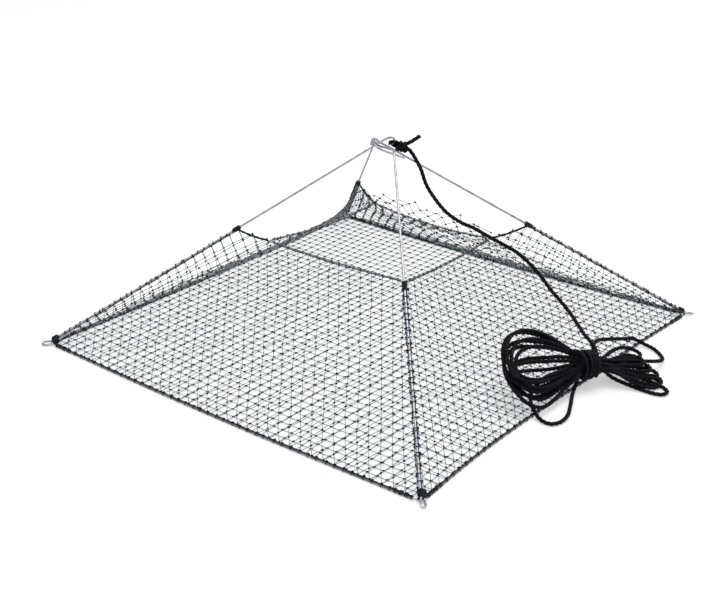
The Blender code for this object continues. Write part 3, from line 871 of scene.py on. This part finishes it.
def bunched(wall, strands=9):
    """Surplus netting gathered along the base: wavy strands that weave about each other,
    base + outwards a(s) + up b(s), each with its own slow waves. On the left wall they spread only towards
    the back corner, and further on they lie close together on the base cord."""
    if wall not in ("back", "left"):
        return []
    share = np.linspace(0.045, 0.955, 150)
    along, outwards = wall_directions(wall)
    phase, waves = draw.uniform(0, 2 * np.pi, (2, strands, 1)), draw.uniform(4.0, 11.0, (2, strands, 1))
    wave = np.sin(2 * np.pi * waves * share + phase)
    spread = np.clip(1.0 - share / 0.42, 0.05, 1) if wall == "left" else np.clip(9 * (1 - share), 0.2, 0.8)
    spread = spread * np.clip(8 * share, 0.25, 1)
    out = 0.0012 + (0.0004 + 0.0018 * spread) * wave[0]
    up = 0.0038 + 0.0016 * spread + (0.0003 + 0.0021 * spread) * wave[1]
    lines = base_line(wall, share) + out[..., None] * outwards + up[..., None] * UP
    lumps = lines[:, 6:-6:9].reshape(-1, 3)
    lumps = lumps + wobble((len(lumps),), 0.0005)
    # Every second strand gets the dark knot twine (finish 1): painted shade of the packed netting. The lumps
    # are its knots.
    return [(*rings_mesh(lines[::2], UP, TWINE / 2, 5), 0), (*rings_mesh(lines[1::2], UP, TWINE / 2, 5), 1),
            (*spindles_mesh(lumps, along + UP * 0.4, outwards, 0.0017, 0.0010), 1)]


print("rims:", ", ".join(f.__name__ for f in (base_strands, side_strands, arm_rungs, mouth_lacing, bunched)))

# %% [markdown]
# ## Making the walls
# Each wall is one sheet of netting with its rim, cut from netting 600 mm wide and 225 mm deep. Netting is
# mostly holes. The smallest area that may be declared, three tenths of width times depth, is used.


def make_wall(wall):
    knots, normals, used = wall_knots(wall)
    bars, facing = wall_bars(knots, normals, used)
    along = wall_directions(wall)[0]
    count = int(used.sum())
    lengthways = along + WALLS[wall]["knot_lean"] * UP + wobble((count,), 0.25)
    lumps = spindles_mesh(knots[used], lengthways, normals[used], draw.uniform(0.0016, 0.0022, count),
                          draw.uniform(0.0010, 0.0013, count))
    dark = (lumps, base_strands(wall), side_strands(wall), *base_whipping(wall), *arm_rungs(wall),
            mouth_lacing(wall))
    parts = [(*rings_mesh(bars, facing, TWINE / 2, 5), 0), *((*part, 1) for part in dark), *bunched(wall)]
    made = piece(f"netting_{wall}", parts, [NET_TWINE, KNOT_TWINE], (f"wall_{wall}",))


for wall in WALLS:
    make_wall(wall)

# %% [markdown]
# ## The floor net
# The floor is a square of netting hung on the square: its bars run parallel to the base edges, 45 meshes
# each way. It is stretched over four slightly bowed edges, so its grid is a Coons patch: the sum of the two
# straight blends between opposite edges, less the blend between the corners.

# %% Floor
FLOOR_MESHES = 45


def floor_grid():
    """P(u, v) = (1 - v) front + v back + (1 - u) left + u right - the bilinear blend of the corners."""
    share = np.linspace(0, 1, FLOOR_MESHES + 1)
    front, right = base_line("front", share), base_line("right", share)
    back, left = base_line("back", share)[::-1], base_line("left", share)[::-1]
    u, v = share[None, :, None], share[:, None, None]
    ruled = (1 - v) * front[None] + v * back[None] + (1 - u) * left[:, None] + u * right[:, None]
    corners = ((1 - u) * (1 - v) * front[0] + u * (1 - v) * front[-1] + (1 - u) * v * back[0]
               + u * v * back[-1])
    rim = np.minimum(np.minimum(u, 1 - u), np.minimum(v, 1 - v))[..., 0]
    loose = np.clip(rim * 15, 0, 1)[..., None]
    sway = 0.0011 * np.sin(7.0 * u + 3.0 * np.sin(4.0 * v)) * (1, 0, 0)
    sway = sway + 0.0011 * np.sin(6.0 * v + 2.0 * np.sin(5.0 * u) + 1.0) * (0, 1, 0)
    grid = ruled - corners + loose * (sway + wobble(rim.shape, 0.00040))
    grid[..., :2] *= 1 - 0.0045 * (1 - loose)
    grid[..., 2] = 0.0009 + 0.0004 * draw.random(rim.shape)
    return grid


def make_floor():
    grid = floor_grid()
    starts = np.concatenate((grid[:, :-1].reshape(-1, 3), grid[:-1].reshape(-1, 3)))
    ends = np.concatenate((grid[:, 1:].reshape(-1, 3), grid[1:].reshape(-1, 3)))
    bars = bar_lines(starts, ends, UP, np.abs(draw.normal(0.0, 0.00025, len(starts))))
    flat = grid.reshape(-1, 3)
    diagonal = np.array((1.0, 1.0, 0.0)) + wobble((len(flat),), 0.18) * (1, 1, 0)
    lumps = spindles_mesh(flat + UP * 0.0004, diagonal, UP, draw.uniform(0.0016, 0.0022, len(flat)), 0.00115)
    made = piece("netting_floor", [(*rings_mesh(bars, UP, TWINE / 2, 5), 0), (*lumps, 1)],
                 [NET_TWINE, KNOT_TWINE], ("floor_net",))


make_floor()

# %% [markdown]
# ## Cords of the base and the mouth
# Both are laid cords, so they use the same turning lobes as the rope, finer and in lilac grey.

# %% Cords
def laid_cord(name, points, thick, pitch, replaces):
    line = smooth(points, int(lengths_along(points)[-1] / (pitch / 11)))
    laid_tube(name, line, UP, thick, 9, pitch, 0.22, LILAC_CORD, (replaces,))


END_CLEAR = 0.0110 / 0.600
for wall in WALLS:
    edge = base_line(wall, np.linspace(END_CLEAR, 1 - END_CLEAR, 31)) + UP * EDGE_Z
    laid_cord(f"base_cord_{wall}", edge, EDGE_CORD, 0.0100, f"edge_cord_{wall}")
    laid_cord(f"mouth_rim_{wall}", mouth_cord_line(wall, 31)[1:-1], MOUTH_CORD, 0.0070, f"mouth_cord_{wall}")

# %% [markdown]
# ## Lashings and links
# Dark twine is wound round each arm where the mouth meets it, and round the doubled wire of each foot. From
# each binding at the mouth, gathered netting reaches in to the corner of the mouth cord: a few strands
# twisted together.

# %% Lashings and links
LASHING = 0.0012


def winding(middle, along, across, half, length, turns, layers=2):
    """Twine wound round: middle + along w + a across cos + b beside sin, forth, and back over itself, a
    little wider."""
    along = unit(along)
    across = square_to(along, across)
    beside = np.cross(along, across)
    turn = np.linspace(0, 2 * np.pi * turns * layers, int(turns * layers * 12))[:, None]
    share = turn / (2 * np.pi * turns)
    w = (np.abs((share + 1) % 2 - 1) - 0.5) * length
    wide = LASHING * 0.42 * np.clip((share - 0.97) * 30, 0, 1) + 0.0004 * np.sin(0.83 * turn) ** 2
    wide = wide - 0.0008 * np.clip(share - 1, 0, 1) ** 0.2 * (2 * w / length) ** 4
    line = (middle + along * w + across * (half[0] + wide) * np.cos(turn)
            + beside * (half[1] + wide) * np.sin(turn))
    return line, across * np.cos(turn) + beside * np.sin(turn)


def link_strands(start, end, strands=5, radius=0.0011, twists=1.5):
    """Strands twisted together: the middle line + r (first cos + second sin), thinner at both ends."""
    share = np.linspace(0, 1, 26)[None, :, None]
    along = unit(end - start)
    first = unit(np.cross(along, UP))
    second = np.cross(along, first)
    phase = (np.arange(strands) * 2 * np.pi / strands)[:, None, None]
    turn = phase + 2 * np.pi * twists * share
    r = radius * (0.55 + 0.45 * np.sin(np.pi * share)) * (1 + 0.25 * np.sin(3 * phase + 9 * share))
    sag = 4 * share * (1 - share) * 0.0022
    return start + (end - start) * share + r * (first * np.cos(turn) + second * np.sin(turn)) - UP * sag


def dark_twine(name, lines, outward, thick, sides, replaces):
    piece(name, [(*rings_mesh(lines, outward, thick / 2, sides), 0)], [KNOT_TWINE], (replaces,))


for corner in FEET:
    foot, top, mouth = np.array(FEET[corner]), np.array(TOPS[corner]), mouth_point(corner)
    along = unit(top - foot)
    level = unit(np.cross(along, UP))
    upward = np.cross(level, along)
    line, outward = winding(mouth, along, level, (0.0021, 0.0021), length=0.0105, turns=7)
    dark_twine(f"mouth_binding_{corner}", line[None], outward[None], LASHING, 6, f"mouth_lashing_{corner}")
    beside = unit(level * 0.78 - upward * 0.62)
    doubled = foot + along * 0.0075 + beside * 0.0020
    line, outward = winding(doubled, along, beside, (0.0052, 0.0027), length=0.008, turns=6)
    dark_twine(f"foot_binding_{corner}", line[None], outward[None], LASHING, 6, f"corner_lashing_{corner}")
    ring = np.array(MOUTH_CORNER[corner])
    strands = link_strands(mouth + unit(ring - mouth) * 0.002, ring)
    dark_twine(f"mouth_gather_{corner}", strands, UP, 0.0010, 5, f"mouth_link_{corner}")

# %% [markdown]
# ## The arms
# The frame's wires have the right bends already. A copy of each is made round to the eye: its loose
# triangles are joined at their corners, and smooth shading does the rest.

# %% Arms
def round_copy(node, name, finish):
    """A copy of a node with its corners merged and shaded smooth, except at its sharp ends."""
    source = bpy.data.objects[node]
    work = bmesh.new()
    work.from_mesh(source.data)
    bmesh.ops.remove_doubles(work, verts=work.verts, dist=1e-6)
    mesh = bpy.data.meshes.new(name)
    work.to_mesh(mesh)
    work.free()
    mesh.shade_smooth()
    mesh.set_sharp_from_angle(angle=np.radians(62))
    mesh.materials.clear()
    mesh.materials.append(finish)
    made = placed(name, mesh)
    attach(made, "root")
    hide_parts(node)
    print(f"{name}: {len(mesh.vertices)} corners, {len(mesh.polygons)} faces")


for corner in FEET:
    round_copy(f"arm_{corner}", f"wire_{corner}", STEEL)

# %% [markdown]
# ## Floor and light
# The sweep under the net is plain white and gives off some light of its own, and the sky is white too, so
# light comes from everywhere. A large soft lamp above makes the faint shadow under the hank.

# %% Floor and light
def make_floor_sweep():
    mesh = bpy.data.meshes.new("sweep")
    reach = 30.0
    mesh.from_pydata([(x * reach, y * reach, 0) for x, y in ((-1, -1), (1, -1), (1, 1), (-1, 1))], [],
                     [(0, 1, 2, 3)])
    sweep_finish = Finish("white_sweep", base_color=(0.55, 0.55, 0.56, 1), roughness=0.9,
                          specular_ior_level=0.1, emission_color=(1, 1, 1, 1), emission_strength=0.42)
    mesh.materials.append(sweep_finish.material)
    placed("sweep", mesh)


def make_light():
    world = bpy.data.worlds.new("white_sky")
    bpy.context.scene.world = world
    world.use_nodes = True
    sky = world.node_tree.nodes["Background"]
    sky.inputs["Color"].default_value = (1.0, 1.0, 1.0, 1)
    sky.inputs["Strength"].default_value = 0.92
    lamp = bpy.data.lights.new("soft_lamp", "AREA")
    lamp.size = 1.6
    lamp.energy = 26.0
    placed("soft_lamp", lamp).location = (0.4, 0.2, 2.4)


make_floor_sweep()
make_light()
bpy.context.scene.view_settings.view_transform = "Standard"
